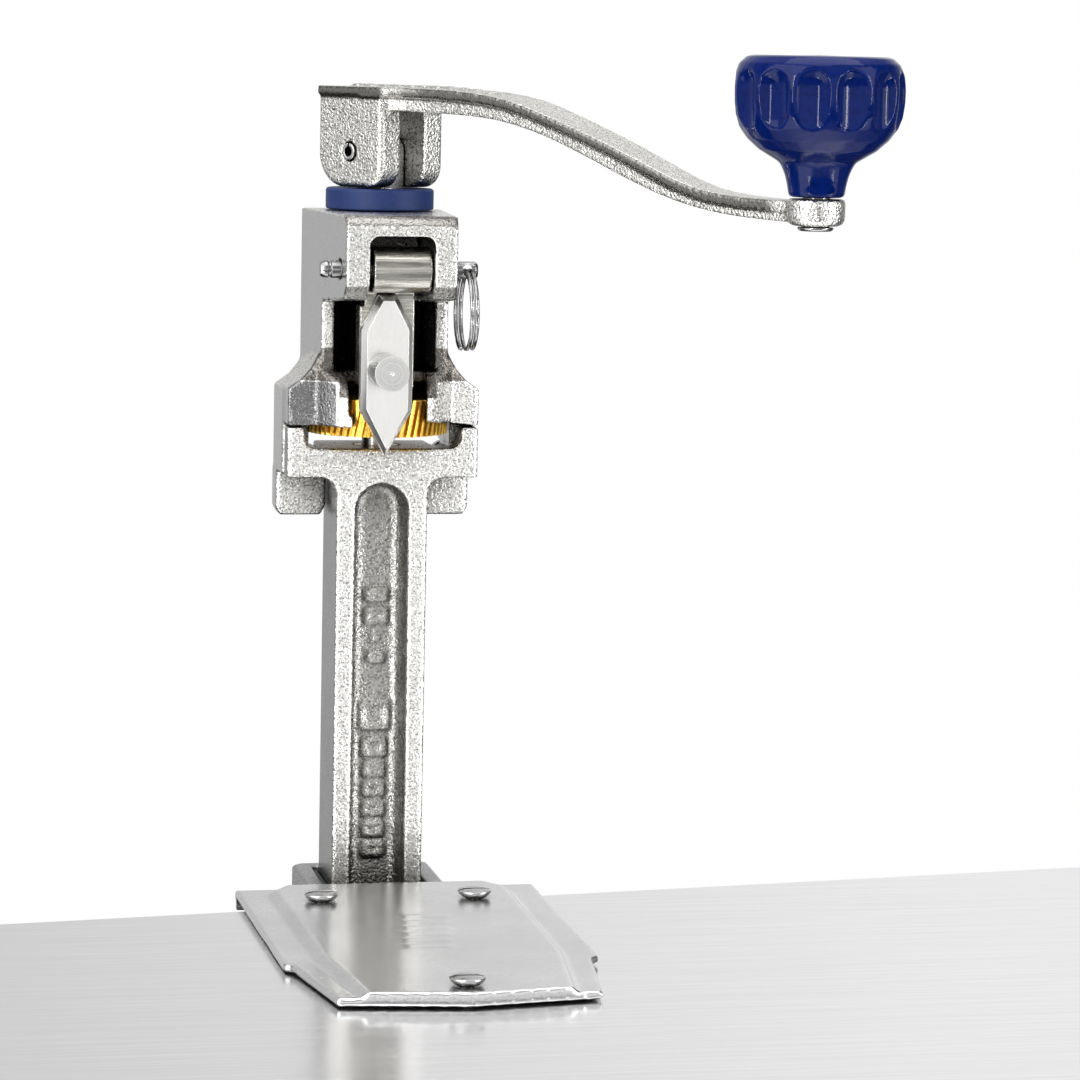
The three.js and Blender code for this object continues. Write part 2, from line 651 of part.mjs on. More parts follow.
// Pointed blade with a narrow top and bevelled rim
function knifeBlade() {
  const shape = outline([
    [KNIFE_X, 122.2], [5.2, 134.4], [5.2, 157], [0.6, 166], [-4.2, 166], [-9, 156.6], [-9, 134.8],
  ]);
  const geometry = new THREE.ExtrudeGeometry(shape, {
    depth: KNIFE_BACK - KNIFE_FRONT - 2, bevelEnabled: true, bevelThickness: 2, bevelSize: 1.4,
    bevelOffset: -1.4, bevelSegments: 1,
  });
  const back = box(-30, 30, KNIFE_BACK, 0, 100, 200);
  const body = solid(geometry.rotateX(Math.PI / 2).translate(0, KNIFE_BACK, 0));
  return body.subtract(back).subtract(rodY(STUD_X, STUD_Z, 3.4, -30, 0));
}

function knifeStud() {
  let body = rodY(STUD_X, STUD_Z, 3.1, KNIFE_FRONT - 0.6, -5, 32);
  body = body.add(rodY(STUD_X, STUD_Z, 4.75, STUD_FRONT, KNIFE_FRONT - GAP, 32));
  const dimple = new THREE.SphereGeometry(0.7, 12, 8).translate(STUD_X, STUD_FRONT - 0.4, STUD_Z);
  return body.subtract(solid(dimple));
}

// ---- quick-release pin and ring --------------------------------------------

function quickPin() {
  const profile = [
    [0, -21.3], [1.8, -21.3], [PIN_R, -20.1], [PIN_R, -19.3], [2, -18.9], [2, -18.5],
    [PIN_R, -18.2], [PIN_R, 21.1], [1.9, 21.8], [0, 21.8],
  ];
  const points = profile.map(([r, z]) => new THREE.Vector2(r, z));
  const shape = new THREE.LatheGeometry(points, 24).rotateZ(-Math.PI / 2);
  let body = solid(shape.translate(0, PIN_Y, PIN_Z));
  body = body.subtract(rodY(RING_X, PIN_Z, 1.75, PIN_Y - 4, PIN_Y + 4));
  return body.subtract(post(-17.2, PIN_Y, 1.1, PIN_Z - 1, PIN_Z + 4, 20));
}

function detentBall() {
  return solid(new THREE.SphereGeometry(0.85, 16, 12).translate(-17.2, PIN_Y, PIN_Z + 1.75));
}

// Split ring: two side-by-side turns of wire
function pullRing() {
  const wire = 0.62;
  const middle = 10.7;
  const points = [];
  const steps = 40;
  const turns = 1.97;
  for (let i = 0; i <= steps; i += 1) {
    const a = -Math.PI / 2 + 2 * Math.PI * turns * i / steps;
    const x = RING_X + 1.36 * (turns * i / steps - turns / 2);
    points.push(new THREE.Vector3(
      x,
      PIN_Y + middle * Math.cos(a),
      PIN_Z - middle + middle * Math.sin(a),
    ));
  }
  const section = new THREE.Shape();
  section.absarc(0, 0, wire, 0, 2 * Math.PI, false);
  return solid(new THREE.ExtrudeGeometry(section, {
    steps: 64, curveSegments: 5, bevelEnabled: false,
    extrudePath: new THREE.CatmullRomCurve3(points),
  }));
}

// ---- assembly --------------------------------------------------------------

place('base_plate', basePlate(), plateSteel);
place('bar_socket', barSocket(), castSteel);
place('socket_liner', socketLiner(), blackNylon);
place('front_pad', box(-12, 12, -1.7, -0.3, SOCKET_LOW + 2, -2), blackNylon);
[-17, 17].forEach((x, i) => place(`socket_bolt_${i + 1}`, socketBolt(x), brightSteel));
SCREW_SPOTS.forEach(([x, y], i) => place(`base_screw_${i + 1}`, baseScrew(x, y), brightSteel));

place('bar', bar(), castSteel);
place('foot_bushing', footBushing(), bronze);
place('head_casting', headCasting(), castSteel);
[-21.3, 21.3].forEach((x, i) => place(`head_screw_${i + 1}`, headScrew(x), machined));
place('upper_bushing', upperBushing(), bronze);

place('thrust_washer', thrustWasher(), blueNylon);
place('arbor_shaft', arborShaft(), machined, CRANK_TURN);
place('gear_key', gearKey(), machined, CRANK_TURN);
place('drive_gear', driveGear(), goldCoat, CRANK_TURN);
place('crank_handle', crankHandle(), castSteel, CRANK_TURN);
place('handle_pin', handlePin(), machined, CRANK_TURN);
place('knob_spindle', knobSpindle(), brightSteel, CRANK_TURN);
place('knob', knobBody(), blueKnob, CRANK_TURN);
place('knob_cap', knobCap(), blueKnob, CRANK_TURN);

place('knife_holder', knifeHolder(), castSteel);
place('knife', knifeBlade(), bladeSteel);
place('knife_stud', knifeStud(), brightSteel);
place('quick_release_pin', quickPin(), brightSteel);
place('detent_ball', detentBall(), brightSteel);
place('pull_ring', pullRing(), brightSteel);

export default group;
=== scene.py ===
import json
import math

import bmesh
import bpy
from mathutils import Matrix, Vector

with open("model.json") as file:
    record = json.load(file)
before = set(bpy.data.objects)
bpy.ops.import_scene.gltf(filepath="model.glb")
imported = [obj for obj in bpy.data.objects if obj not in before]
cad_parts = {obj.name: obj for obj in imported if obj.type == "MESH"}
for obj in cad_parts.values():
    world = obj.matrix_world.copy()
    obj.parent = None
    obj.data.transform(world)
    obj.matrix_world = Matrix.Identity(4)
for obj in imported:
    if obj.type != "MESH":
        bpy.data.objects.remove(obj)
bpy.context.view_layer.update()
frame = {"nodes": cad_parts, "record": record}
print("frame loaded")

mm = 0.001
originY = 80.0  # the bar's front face, mm behind the frame's origin
driveAxisY = 12.7  # drive axis behind the bar's front face, mm
nodes = frame["nodes"]


def newGroup(name, inputs, outputs):
    group = bpy.data.node_groups.new(name, "ShaderNodeTree")
    for label, value in inputs.items():
        socket = group.interface.new_socket(label, in_out="INPUT", socket_type="NodeSocketFloat")
        socket.default_value = value
    for label in outputs:
        group.interface.new_socket(label, in_out="OUTPUT", socket_type="NodeSocketFloat")
    return group, group.nodes.new("NodeGroupInput"), group.nodes.new("NodeGroupOutput")


def addNode(tree, kind, links=None, **settings):
    node = tree.nodes.new(kind)
    for key, value in settings.items():
        setattr(node, key, value)
    for key, value in (links or {}).items():
        if isinstance(value, bpy.types.NodeSocket):
            tree.links.new(value, node.inputs[key])
        else:
            node.inputs[key].default_value = value
    return node


def mathNode(tree, operation, first, second=0.0, clamp=False):
    node = addNode(tree, "ShaderNodeMath", {0: first, 1: second}, operation=operation, use_clamp=clamp)
    return node.outputs[0]


def objectPoint(tree):
    return addNode(tree, "ShaderNodeTexCoord").outputs["Object"]


def noiseValue(tree, vector, scale, detail=3.0, roughness=0.55):
    node = addNode(tree, "ShaderNodeTexNoise",
                   {"Vector": vector, "Scale": scale, "Detail": detail, "Roughness": roughness})
    return node.outputs["Fac"]


def rampValue(tree, value, low, high):
    return addNode(tree, "ShaderNodeMapRange", {
        "Value": value, "From Min": low, "From Max": high}).outputs["Result"]


def distanceValue(tree, first, second):
    squares = mathNode(tree, "ADD", mathNode(tree, "MULTIPLY", first, first),
                       mathNode(tree, "MULTIPLY", second, second))
    return mathNode(tree, "SQRT", squares)


castRelief = {
    "grain": 0.75, "pits": 0.6, "lumps": 0.6,  # shares of the height
    "darkBelow": 0.36, "brightAbove": 0.5,  # grain values of the dark and bright specks
}


def makeCastTexture():
    group, inputs, outputs = newGroup(
        "castTexture", {"Grain Size": 0.8, "Lump Size": 4.0},
        ["Height", "Mask"])
    point = objectPoint(group)
    grainScale = mathNode(group, "DIVIDE", 1000.0, inputs.outputs["Grain Size"])  # sizes in mm
    lumpScale = mathNode(group, "DIVIDE", 1000.0, inputs.outputs["Lump Size"])
    grain = noiseValue(group, point, grainScale, 2.0)
    lumps = noiseValue(group, point, lumpScale, 3.0)
    cells = addNode(group, "ShaderNodeTexVoronoi", {"Vector": point, "Scale": grainScale},
                    feature="SMOOTH_F1").outputs["Distance"]
    mixed = mathNode(group, "ADD", mathNode(group, "MULTIPLY", grain, castRelief["grain"]),
                     mathNode(group, "MULTIPLY", cells, castRelief["pits"]))
    height = mathNode(group, "ADD", mixed, mathNode(group, "MULTIPLY", lumps, castRelief["lumps"]))
    specks = rampValue(group, grain, castRelief["darkBelow"], castRelief["brightAbove"])
    group.links.new(height, outputs.inputs["Height"])
    group.links.new(specks, outputs.inputs["Mask"])
    return group


def makeBrushedGrain():
    group, inputs, outputs = newGroup(
        "brushedGrain", {"Stretch X": 1.0, "Stretch Y": 1.0, "Stretch Z": 0.03, "Line Scale": 2200.0},
        ["Height", "Mask"])
    stretch = addNode(group, "ShaderNodeCombineXYZ", {
        0: inputs.outputs["Stretch X"], 1: inputs.outputs["Stretch Y"], 2: inputs.outputs["Stretch Z"]})
    point = addNode(group, "ShaderNodeVectorMath", {0: objectPoint(group), 1: stretch.outputs[0]},
                    operation="MULTIPLY").outputs[0]
    lines = noiseValue(group, point, inputs.outputs["Line Scale"], 4.0, 0.6)
    group.links.new(lines, outputs.inputs["Height"])
    group.links.new(rampValue(group, lines, 0.35, 0.7), outputs.inputs["Mask"])  # dark to bright lines
    return group


def makeEdgeWear():
    group, inputs, outputs = newGroup(
        "edgeWear", {"Width": 0.0006, "Patchiness": 260.0}, ["Mask"])
    rounded = addNode(group, "ShaderNodeBevel", {"Radius": inputs.outputs["Width"]}, samples=4)
    flat = addNode(group, "ShaderNodeNewGeometry")
    alike = addNode(group, "ShaderNodeVectorMath", {0: rounded.outputs[0], 1: flat.outputs["Normal"]},
                    operation="DOT_PRODUCT").outputs["Value"]
    edge = rampValue(group, alike, 0.995, 0.86)  # cosine of the turn, no wear to full wear
    patches = noiseValue(group, objectPoint(group), inputs.outputs["Patchiness"])
    mask = mathNode(group, "MULTIPLY", edge, rampValue(group, patches, 0.35, 0.6), True)
    group.links.new(mask, outputs.inputs["Mask"])
    return group


def makeDust():
    group, inputs, outputs = newGroup(
        "dust", {"Amount": 0.3, "Patch Scale": 60.0}, ["Mask"])
    normal = addNode(group, "ShaderNodeNewGeometry").outputs["Normal"]
    up = addNode(group, "ShaderNodeSeparateXYZ", {0: normal}).outputs["Z"]
    patches = noiseValue(group, objectPoint(group), inputs.outputs["Patch Scale"], 5.0, 0.65)
    facingUp = rampValue(group, up, -0.4, 1.0)  # dust starts on faces that lean a little downward
    mask = mathNode(group, "MULTIPLY", rampValue(group, patches, 0.4, 0.75), facingUp)
    amount = mathNode(group, "MULTIPLY", mask, inputs.outputs["Amount"], True)
    group.links.new(amount, outputs.inputs["Mask"])
    return group


def makeHollowShade():
    group, inputs, outputs = newGroup(
        "hollowShade", {"Reach": 0.012, "Strength": 1.0, "Open": 0.75, "Closed": 0.1},
        ["Mask"])
    shade = addNode(group, "ShaderNodeAmbientOcclusion", {"Distance": inputs.outputs["Reach"]}, samples=6)
    dark = rampValue(group, shade.outputs["AO"], inputs.outputs["Open"], inputs.outputs["Closed"])
    mask = mathNode(group, "MULTIPLY", dark, inputs.outputs["Strength"], True)
    group.links.new(mask, outputs.inputs["Mask"])
    return group


def makeZoneMask():
    group, inputs, outputs = newGroup(
        "zoneMask", {"Low X": -1.0, "High X": 1.0, "Low Y": -1.0, "High Y": 1.0, "Low Z": -1.0, "High Z": 1.0,
                     "Blur": 0.0004},  # width of the soft border, m
        ["Mask"])
    point = addNode(group, "ShaderNodeSeparateXYZ", {0: objectPoint(group)})
    blur = inputs.outputs["Blur"]
    mask = None
    for axis in "XYZ":
        above = mathNode(group, "SUBTRACT", point.outputs[axis], inputs.outputs["Low " + axis])
        below = mathNode(group, "SUBTRACT", inputs.outputs["High " + axis], point.outputs[axis])
        inside = mathNode(group, "DIVIDE", mathNode(group, "MINIMUM", above, below), blur, True)
        mask = inside if mask is None else mathNode(group, "MULTIPLY", mask, inside)
    group.links.new(mask, outputs.inputs["Mask"])
    return group


def makeTurnedRings():
    group, inputs, outputs = newGroup(
        "turnedRings", {"Center X": 0.0, "Center Z": 0.0, "Ring Scale": 3000.0},
        ["Height"])
    point = addNode(group, "ShaderNodeSeparateXYZ", {0: objectPoint(group)})
    dx = mathNode(group, "SUBTRACT", point.outputs["X"], inputs.outputs["Center X"])
    dz = mathNode(group, "SUBTRACT", point.outputs["Z"], inputs.outputs["Center Z"])
    spread = addNode(group, "ShaderNodeCombineXYZ", {0: distanceValue(group, dx, dz)})
    rings = noiseValue(group, spread.outputs[0], inputs.outputs["Ring Scale"], 3.0, 0.6)
    group.links.new(rings, outputs.inputs["Height"])
    return group


def makeFlankMask():
    group, inputs, outputs = newGroup("flankMask", {"Start": 0.9, "Full": 0.98}, ["Mask"])
    normal = addNode(group, "ShaderNodeNewGeometry").outputs["Normal"]
    across = addNode(group, "ShaderNodeSeparateXYZ", {0: normal}).outputs["X"]
    toward = mathNode(group, "MULTIPLY", across, -1.0)
    node = addNode(group, "ShaderNodeMapRange", {
        "Value": toward, "From Min": inputs.outputs["Start"], "From Max": inputs.outputs["Full"]})
    group.links.new(node.outputs["Result"], outputs.inputs["Mask"])
    return group


castTexture = makeCastTexture()
flankMask = makeFlankMask()
zoneMask = makeZoneMask()
turnedRings = makeTurnedRings()
brushedGrain = makeBrushedGrain()
edgeWear = makeEdgeWear()
dustLayer = makeDust()
hollowShade = makeHollowShade()
print("shader groups ready")


def useGroup(tree, group, output, **values):
    node = tree.nodes.new("ShaderNodeGroup")
    node.node_tree = group
    for key, value in values.items():
        node.inputs[key.replace("_", " ")].default_value = value
    return node.outputs[output]


def mixColor(tree, fac, first, second):
    node = tree.nodes.new("ShaderNodeMix")
    node.data_type = "RGBA"
    for index, value in ((0, fac), (6, first), (7, second)):  # the Mix node's color sockets
        if isinstance(value, bpy.types.NodeSocket):
            tree.links.new(value, node.inputs[index])
        else:
            node.inputs[index].default_value = value
    return node.outputs[2]


def paint(red, green, blue):
    return (red, green, blue, 1.0)


def zoneValue(tree, name, box):  # box: X, Y and Z ranges in mm, Y from the bar's front face
    toLocal = nodes[name].matrix_world.inverted()
    low = toLocal @ Vector((box[0] * mm, (box[2] + originY) * mm, box[4] * mm))
    high = toLocal @ Vector((box[1] * mm, (box[3] + originY) * mm, box[5] * mm))
    return useGroup(tree, zoneMask, "Mask", Low_X=low.x, High_X=high.x, Low_Y=low.y, High_Y=high.y,
                    Low_Z=low.z, High_Z=high.z)


# painted shade: a dark band along the upper part of the crank arm's steep sides
armFlange = {
    "reach": 160.0, "floor": 190.0, "rise": 40.0,  # length and height range of the line, mm
    "line": [(0, 222), (20, 222), (36, 221.6), (52, 220), (67, 216.2), (91, 208.4), (114, 200), (128, 197.4),
             (145, 196.6), (160, 196.4)],  # distance from the drive axis and height of the arm's top, mm
    "edge": (3.6, 3.1),  # depth below the top where the flange's smooth side ends, mm
    "end": (146.0, 142.0),  # distance from the drive axis where it ends, mm
    "upright": (0.92, 0.7),  # how level a face may be
    "darken": 0.85, "color": paint(0.14, 0.135, 0.125), "calm": 0.8,  # painted shade: how much darker the band is and its colour, and how much smoother it is
}


def flangeLine(curve):
    points = [(reach / armFlange["reach"], (height - armFlange["floor"]) / armFlange["rise"])
              for reach, height in armFlange["line"]]
    line = curve.mapping.curves[0]
    line.points[0].location = points[0]
    line.points[1].location = points[-1]
    for place in points[1:-1]:
        line.points.new(*place)
    curve.mapping.update()


def flangeBand(tree):
    toLocal = nodes["crank_handle"].matrix_world.inverted()
    axis = toLocal @ Vector((0.0, (originY + driveAxisY) * mm, armFlange["floor"] * mm))
    point = addNode(tree, "ShaderNodeSeparateXYZ", {0: objectPoint(tree)})
    radius = distanceValue(tree, mathNode(tree, "SUBTRACT", point.outputs["X"], axis.x),
                           mathNode(tree, "SUBTRACT", point.outputs["Y"], axis.y))
    share = mathNode(tree, "DIVIDE", radius, armFlange["reach"] * mm)
    curve = addNode(tree, "ShaderNodeFloatCurve", {"Value": share})
    flangeLine(curve)
    top = mathNode(tree, "ADD", mathNode(tree, "MULTIPLY", curve.outputs[0], armFlange["rise"] * mm), axis.z)
    depth = mathNode(tree, "SUBTRACT", top, point.outputs["Z"])
    normal = addNode(tree, "ShaderNodeNewGeometry").outputs["Normal"]
    level = mathNode(tree, "ABSOLUTE", addNode(tree, "ShaderNodeSeparateXYZ", {0: normal}).outputs["Z"])
    steep = rampValue(tree, level, *armFlange["upright"])
    near = rampValue(tree, depth, *[edge * mm for edge in armFlange["edge"]])
    far = rampValue(tree, radius, *[end * mm for end in armFlange["end"]])
    return mathNode(tree, "MULTIPLY", mathNode(tree, "MULTIPLY", steep, near), far)


flankFade = 0.06  # how softly the shaded side starts
flankCalm = 0.85  # how much of the bump the shaded side loses
dustColor = paint(0.62, 0.61, 0.59)
dustRough = 0.25


def surfaceRelief(tree, look):  # height for the bump, and the mask of its bright places
    if look["texture"] == "rings":
        center = nodes[look["ringNode"]].matrix_world.inverted() @ Vector(look["ringCenter"])
        height = useGroup(tree, turnedRings, "Height", Center_X=center.x, Center_Z=center.z)
        return height, rampValue(tree, height, 0.35, 0.65)
    if look["texture"] == "cast":
        group = castTexture
        values = {"Grain_Size": look["grain"], "Lump_Size": look["lump"]}
    else:
        group = brushedGrain
        stretch = look["stretch"]
        values = {"Stretch_X": stretch[0], "Stretch_Y": stretch[1], "Stretch_Z": stretch[2],
                  "Line_Scale": look["lines"]}
    return useGroup(tree, group, "Height", **values), useGroup(tree, group, "Mask", **values)


def surfaceColor(tree, look, masks):
    color = mixColor(tree, masks["bright"], look["dark"], look["light"])
    stains = mathNode(tree, "MULTIPLY", rampValue(tree, masks["patches"], 0.35, 0.7), look["stain"])
    color = mixColor(tree, stains, color, look["dark"])
    edges = useGroup(tree, edgeWear, "Mask", Width=look["wearWidth"])
    color = mixColor(tree, mathNode(tree, "MULTIPLY", edges, look["wear"]), color, look["bare"])
    # painted shade: ambient occlusion darkens the colour in hollows, corners and gaps between parts
    hollows = useGroup(tree, hollowShade, "Mask", Reach=look["reach"], Strength=look["hollowShadeStrength"],
                       Open=look["open"], Closed=look["closed"])
    color = mixColor(tree, hollows, color, look["hollowShadeColor"])
    # colour boxes: on the head they hold painted shade, on the knob the dark parting line
    for zone in look["zones"]:
        inside = zoneValue(tree, look["zoneNode"], zone["box"])
        color = mixColor(tree, mathNode(tree, "MULTIPLY", inside, zone["amount"]), color, zone["color"])
    # painted shade on the band along the arm's upper sides
    if look["band"]:
        band = mathNode(tree, "MULTIPLY", masks["band"], armFlange["darken"])
        color = mixColor(tree, band, color, armFlange["color"])
    color = mixColor(tree, masks["dust"], color, dustColor)
    return mixColor(tree, masks["flank"], color, look["flankColor"])


def surfaceRoughness(tree, look, masks):
    rough = mathNode(tree, "ADD", mathNode(tree, "MULTIPLY", masks["bright"], look["roughSpread"]),
                     look["rough"])
    rough = mathNode(tree, "ADD", rough, mathNode(tree, "MULTIPLY", masks["patches"], look["roughPatch"]))
    return mathNode(tree, "ADD", rough, mathNode(tree, "MULTIPLY", masks["dust"], dustRough), True)


def keepOutside(tree, mask, calm):
    return mathNode(tree, "SUBTRACT", 1.0, mathNode(tree, "MULTIPLY", mask, calm))


def surfaceBump(tree, look, masks, height):
    strength = keepOutside(tree, masks["flank"], flankCalm)
    if look["band"]:
        strength = mathNode(tree, "MULTIPLY", strength, keepOutside(tree, masks["band"], armFlange["calm"]))
    strength = mathNode(tree, "MULTIPLY", strength, look["bump"])
    bump = addNode(tree, "ShaderNodeBump",
                   {"Height": height, "Strength": strength, "Distance": look["depth"]})
    return bump.outputs[0]


def makeMaterial(name, look):
    material = bpy.data.materials.new(name)
    material.use_nodes = True
    tree = material.node_tree
    shader = tree.nodes["Principled BSDF"]
    height, bright = surfaceRelief(tree, look)
    masks = {
        "bright": bright,
        "patches": noiseValue(tree, objectPoint(tree), look["patch"], 4.0, 0.6),
        "dust": useGroup(tree, dustLayer, "Mask", Amount=look["dust"]),
        "flank": useGroup(tree, flankMask, "Mask", Start=look["flank"], Full=look["flank"] + flankFade),
        "band": flangeBand(tree) if look["band"] else None,
    }
    shader.inputs["Metallic"].default_value = look["metal"]
    shader.inputs["Specular IOR Level"].default_value = look["gloss"]
    tree.links.new(surfaceColor(tree, look, masks), shader.inputs["Base Color"])
    tree.links.new(surfaceRoughness(tree, look, masks), shader.inputs["Roughness"])
    tree.links.new(surfaceBump(tree, look, masks, height), shader.inputs["Normal"])
    return material


castLook = {  # grain and lump in mm, reach, wearWidth and depth in m
    "metal": 1.0, "gloss": 0.5, "texture": "cast", "grain": 0.62, "lump": 2.4,
    "dark": paint(0.42, 0.41, 0.39), "light": paint(0.98, 0.97, 0.94), "bare": paint(1.0, 0.99, 0.97),
    # painted shade in hollows: its near-black colour is on the next line and its strength on the line after
    "hollowShadeColor": paint(0.05, 0.046, 0.04), "patch": 60.0, "stain": 0.25, "wear": 0.5, "wearWidth": 0.0007,
    "reach": 0.009, "hollowShadeStrength": 0.85, "open": 0.8, "closed": 0.2, "dust": 0.02, "rough": 0.17,
    "roughSpread": 0.06, "roughPatch": 0.1, "bump": 1.0, "depth": 0.0003, "flank": 0.9,
    "flankColor": paint(0.56, 0.56, 0.56), "zones": [], "band": False,
}
plainLook = dict(castLook, flank=2.0)  # no shaded side
# painted shade on the head: dark colours laid into its recesses and onto faces turned from the light
headShadeZones = [
    {"box": (-25.5, -13.2, -12.0, 2.4, 141.2, 150.8), "amount": 0.85,
     "color": paint(0.07, 0.06, 0.05)},  # painted shade in the left scoop
    {"box": (13.6, 25.5, -12.0, 2.4, 141.2, 150.8), "amount": 0.85,
     "color": paint(0.09, 0.075, 0.06)},  # painted shade in the right scoop
    {"box": (-13.6, 14.0, -12.0, 2.4, 137.0, 150.8), "amount": 0.9,
     "color": paint(0.05, 0.043, 0.036)},  # painted shade under the cavity
    {"box": (-15.6, 15.6, 0.3, 23.6, 140.0, 165.0), "amount": 1.0,
     "color": paint(0.004, 0.004, 0.004)},  # painted shade inside the cavity, near black
    {"box": (-28.0, -13.9, -12.0, 3.0, 128.0, 141.4), "amount": 0.85,
     "color": paint(0.15, 0.15, 0.155)},  # painted shade and dark reflection on the slanted face of the left lump
    {"box": (-21.0, 21.0, -27.6, -21.0, 163.0, 169.2), "amount": 0.75,
     "color": paint(0.1, 0.095, 0.085)},  # painted shade on the chamfer under the block
    {"box": (-21.0, 21.0, -27.6, -22.5, 185.0, 189.0), "amount": 0.75,
     "color": paint(0.16, 0.15, 0.135)},  # painted shade on the rounded upper edge
]
# painted shade: the head's hollows are darkened strongly, nearly to black
headLook = dict(castLook, reach=0.016, hollowShadeStrength=0.9, open=0.75, closed=0.3, hollowShadeColor=paint(0.03, 0.027, 0.022),
                zoneNode="head_casting", zones=headShadeZones)
# painted shade: the bar's groove and hollows are darkened
barLook = dict(castLook, flankColor=paint(0.27, 0.27, 0.27), reach=0.02, open=0.98, closed=0.5, hollowShadeStrength=0.82,
               wear=0.2, hollowShadeColor=paint(0.1, 0.095, 0.085))
armLook = dict(plainLook, dark=paint(0.36, 0.35, 0.33), light=paint(0.88, 0.87, 0.84), band=True, wear=0.35)
socketLook = dict(plainLook, dark=paint(0.25, 0.25, 0.26), light=paint(0.4, 0.4, 0.41))
machinedLook = dict(plainLook, texture="brushed", stretch=(0.04, 1.0, 1.0), lines=2600.0,
                    dark=paint(0.55, 0.55, 0.54), light=paint(0.75, 0.75, 0.74), stain=0.2, rough=0.18,
                    bump=0.2, depth=0.00004, hollowShadeStrength=0.6, reach=0.006)
plateLook = dict(plainLook, grain=0.5, lump=9.0, dark=paint(0.66, 0.66, 0.66), light=paint(0.8, 0.8, 0.8),
                 patch=34.0, stain=0.75, rough=0.13, roughPatch=0.12, bump=0.08, depth=0.0001, hollowShadeStrength=0.3,
                 reach=0.004)
brightLook = dict(machinedLook, stretch=(0.05, 1.0, 1.0), lines=3000.0, dark=paint(0.25, 0.25, 0.25),
                  light=paint(0.42, 0.42, 0.42), bare=paint(0.7, 0.7, 0.7), rough=0.14, roughSpread=0.06,
                  roughPatch=0.08, bump=0.08, wear=0.3)
screwLook = dict(brightLook, dark=paint(0.45, 0.45, 0.45), light=paint(0.7, 0.7, 0.7), rough=0.2)
studLook = dict(machinedLook, texture="rings", ringNode="knife_stud",
                ringCenter=(-0.0029, 0.05, 0.1458), dark=paint(0.6, 0.6, 0.59), light=paint(0.85, 0.85, 0.83),
                rough=0.2, bump=0.35, depth=0.00006)
bladeLook = dict(machinedLook, stretch=(1.0, 1.0, 0.05), lines=3200.0, dark=paint(0.93, 0.92, 0.9),
                 light=paint(0.99, 0.98, 0.96), rough=0.22, roughSpread=0.08, bump=0.1, wear=0.2, hollowShadeStrength=0.0,
                 stain=0.05)
# painted shade: brown darkening between the gear's teeth
gearLook = dict(plainLook, grain=0.6, lump=3.0, dark=paint(0.75, 0.42, 0.04),
                light=paint(0.98, 0.62, 0.1), bare=paint(1.0, 0.8, 0.3), hollowShadeColor=paint(0.1, 0.045, 0.006),
                rough=0.22, bump=0.2, depth=0.00005, reach=0.002, hollowShadeStrength=0.8)
bronzeLook = dict(machinedLook, dark=paint(0.4, 0.26, 0.12), light=paint(0.62, 0.44, 0.22))
# painted shade: the washer's hollows, and the knob's, darken toward deep blue
washerLook = dict(plainLook, metal=0.0, grain=0.5, lump=6.0, dark=paint(0.003, 0.015, 0.085),
                  light=paint(0.005, 0.024, 0.12), bare=paint(0.05, 0.13, 0.4),
                  hollowShadeColor=paint(0.003, 0.01, 0.05), stain=0.3, rough=0.42, bump=0.2, depth=0.00006, dust=0.02,
                  hollowShadeStrength=0.5, reach=0.004, gloss=0.35)
partingLine = {"box": (40.0, 150.0, -170.0, -60.0, 223.35, 223.75), "amount": 0.8,
               "color": paint(0.001, 0.003, 0.03)}
knobLook = dict(washerLook, grain=1.4, lump=14.0, dark=paint(0.0005, 0.007, 0.075),
                light=paint(0.001, 0.01, 0.1), bare=paint(0.01, 0.03, 0.26), stain=0.2, wear=0.1,
                rough=0.07, roughSpread=0.02, roughPatch=0.02, bump=0.03, depth=0.0001, gloss=0.17, dust=0.0,
                zoneNode="knob", zones=[partingLine])
# painted shade: the liner's hollows darken toward black
linerLook = dict(washerLook, dark=paint(0.012, 0.013, 0.015), light=paint(0.03, 0.032, 0.035),
                 bare=paint(0.06, 0.06, 0.065), hollowShadeColor=paint(0.004, 0.004, 0.004))
knuckleLook = dict(machinedLook, dark=paint(0.38, 0.37, 0.33), light=paint(0.75, 0.74, 0.68), bump=0.35)

materials = {
    "headCast": makeMaterial("head_steel", headLook),
    "socketCast": makeMaterial("socket_steel", socketLook),
    "screw": makeMaterial("screw_steel", screwLook),
    "stud": makeMaterial("stud_steel", studLook),
    "machined": makeMaterial("turned_steel", machinedLook),
    "plate": makeMaterial("plate_steel", plateLook),
    "bright": makeMaterial("polished_steel", brightLook),
    "blade": makeMaterial("blade_steel", bladeLook),
    "gear_coat": makeMaterial("gold_coat", gearLook),
    "bushing": makeMaterial("bushing_bronze", bronzeLook),
    "washer": makeMaterial("washer_nylon", washerLook),
    "knob": makeMaterial("knob_plastic", knobLook),
    "liner": makeMaterial("liner_nylon", linerLook),
    "armCast": makeMaterial("arm_steel", armLook),
    "barCast": makeMaterial("bar_steel", barLook),
    "knuckle": makeMaterial("turned_knuckle", knuckleLook),
}
ownMaterial = {
    "bar": "barCast", "head_casting": "headCast", "crank_handle": "armCast", "bar_socket": "socketCast",
    "knife_holder": "knuckle", "knife_stud": "stud", "base_screw_1": "screw", "base_screw_2": "screw",
    "base_screw_3": "screw",
}
slotOf = {entry["node"]: entry["material_slot"] for entry in frame["record"]["subparts"]}
for name, node in nodes.items():
    if not node.material_slots:
        node.data.materials.append(None)
    for slot in node.material_slots:
        slot.material = materials[ownMaterial.get(name) or slotOf[name]]
print("materials on the CAD nodes")


def weld(node):
    joiner = node.modifiers.new("weld", "WELD")
    joiner.merge_threshold = 0.02 * mm


